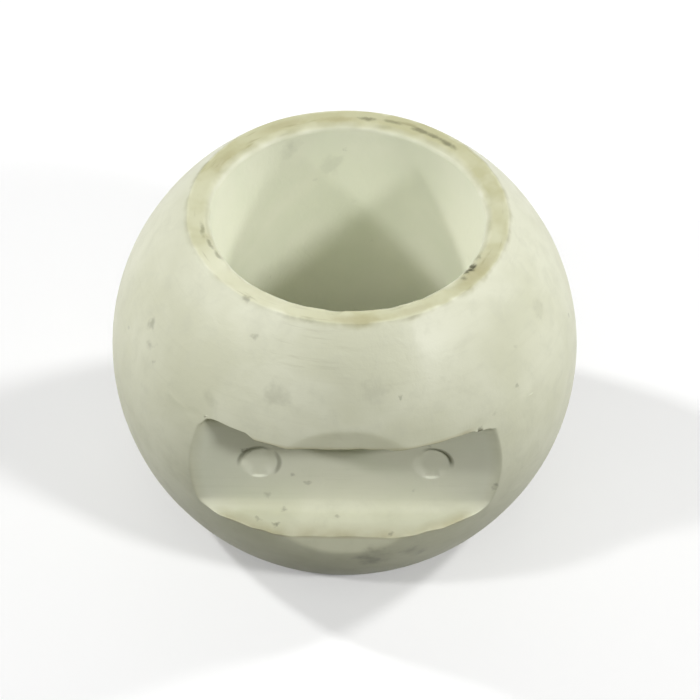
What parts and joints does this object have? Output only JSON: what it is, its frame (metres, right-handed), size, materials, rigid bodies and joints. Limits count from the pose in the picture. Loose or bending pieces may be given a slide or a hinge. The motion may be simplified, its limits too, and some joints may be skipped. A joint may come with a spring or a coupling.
{
  "type": "valve ball",
  "caption": "Moulded plastic ball with a straight through waterway, flat seat rings at both mouths and an open-ended stem slot in its crown.",
  "frame": {"origin": "centre of the ball, where the waterway's axis crosses the stem's axis", "axes": "+Z along the waterway, -Y out of the stem slot along the stem's axis, X along the slot"},
  "size_m": [0.043, 0.0416, 0.0314],
  "materials": {
    "ball": "satin moulded, stained by use"
  },
  "bodies": {
    "root": {"ball": "ball"}
  },
  "joints": []
}
